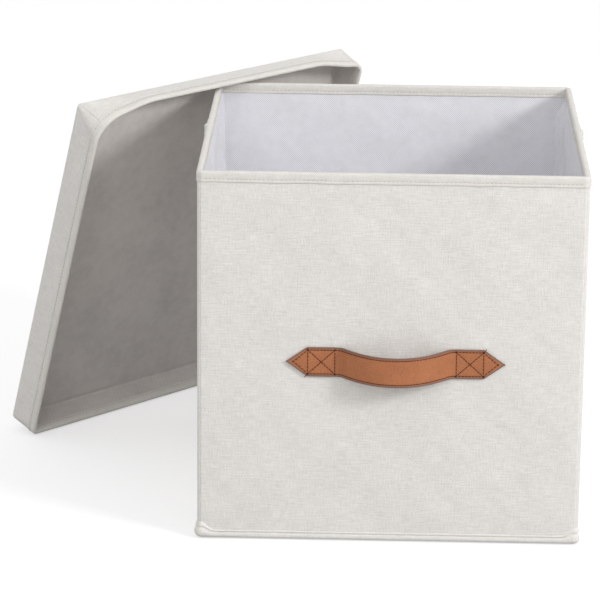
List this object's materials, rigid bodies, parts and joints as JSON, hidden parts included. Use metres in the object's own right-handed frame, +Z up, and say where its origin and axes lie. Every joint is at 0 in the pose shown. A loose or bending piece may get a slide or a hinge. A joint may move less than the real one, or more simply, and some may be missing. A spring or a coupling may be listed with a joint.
{
  "type": "fabric storage bin",
  "caption": "Square fabric storage bin with stiffened walls that fold flat, a leather-look strap handle, a loose base insert and a lift-off lid leaning beside it.",
  "frame": {"origin": "centre of the bin's square base, on the surface it stands on", "axes": "+Z up, the wall with the handle faces -Y, +X to the right seen from the handle side"},
  "size_m": [0.5219, 0.5461, 0.3345],
  "materials": {
    "cover_cloth": "matte",
    "lining_cloth": "matte",
    "stiffener_board": "matte",
    "strap_leather": "matte",
    "handle_thread": "matte"
  },
  "bodies": {
    "back": {"back_cover": "cover_cloth", "back_board": "stiffener_board", "back_lining": "lining_cloth", "back_rim_binding": "cover_cloth", "base_cloth": "cover_cloth", "base_edge_band": "cover_cloth"},
    "left_back": {"left_back_cover": "cover_cloth", "left_back_board": "stiffener_board", "left_back_lining": "lining_cloth", "left_back_rim_binding": "cover_cloth"},
    "left_front": {"left_front_cover": "cover_cloth", "left_front_board": "stiffener_board", "left_front_lining": "lining_cloth", "left_front_rim_binding": "cover_cloth"},
    "front": {"front_cover": "cover_cloth", "front_board": "stiffener_board", "front_lining": "lining_cloth", "front_rim_binding": "cover_cloth", "handle_backing": "strap_leather", "handle_strap": "strap_leather", "handle_stitching": "handle_thread"},
    "right_front": {"right_front_cover": "cover_cloth", "right_front_board": "stiffener_board", "right_front_lining": "lining_cloth", "right_front_rim_binding": "cover_cloth"},
    "right_back": {"right_back_cover": "cover_cloth", "right_back_board": "stiffener_board", "right_back_lining": "lining_cloth", "right_back_rim_binding": "cover_cloth"},
    "insert": {"insert_backing": "lining_cloth", "insert_board": "stiffener_board", "insert_lining": "lining_cloth"},
    "lid": {"lid_cover": "cover_cloth", "lid_panel_board": "stiffener_board", "lid_bottom_skirt_board": "stiffener_board", "lid_top_skirt_board": "stiffener_board", "lid_left_skirt_board": "stiffener_board", "lid_right_skirt_board": "stiffener_board", "lid_lining": "lining_cloth", "lid_hem": "cover_cloth"}
  },
  "joints": [
    {"name": "fold", "type": "hinge", "parent": "back", "child": "left_back", "pos_m": [-0.1597, 0.1597, 0], "axis": [0, 0, 1], "range_deg": [0, 88]},
    {"name": "left_crease", "type": "hinge", "parent": "left_back", "child": "left_front", "pos_m": [-0.1653, 0, 0], "axis": [0, 0, 1], "range_deg": [-176, 0]},
    {"name": "front_left_corner", "type": "hinge", "parent": "left_front", "child": "front", "pos_m": [-0.1597, -0.1597, 0], "axis": [0, 0, 1], "range_deg": [0, 88]},
    {"name": "front_right_corner", "type": "hinge", "parent": "front", "child": "right_front", "pos_m": [0.1597, -0.1597, 0], "axis": [0, 0, 1], "range_deg": [0, 88]},
    {"name": "right_crease", "type": "hinge", "parent": "right_front", "child": "right_back", "pos_m": [0.1653, 0, 0], "axis": [0, 0, 1], "range_deg": [-176, 0]},
    {"name": "insert_lift", "type": "slide", "parent": "back", "child": "insert", "axis": [0, 0, 1], "range_m": [0, 0.36]},
    {"name": "lid_lift", "type": "slide", "parent": "back", "child": "lid", "axis": [0, 0, 1], "range_m": [0, 0.36]}
  ],
  "couplings": [
    {"joint": "left_crease", "follows": "fold", "ratio": -2},
    {"joint": "front_left_corner", "follows": "fold", "ratio": 1},
    {"joint": "front_right_corner", "follows": "fold", "ratio": 1},
    {"joint": "right_crease", "follows": "fold", "ratio": -2}
  ]
}
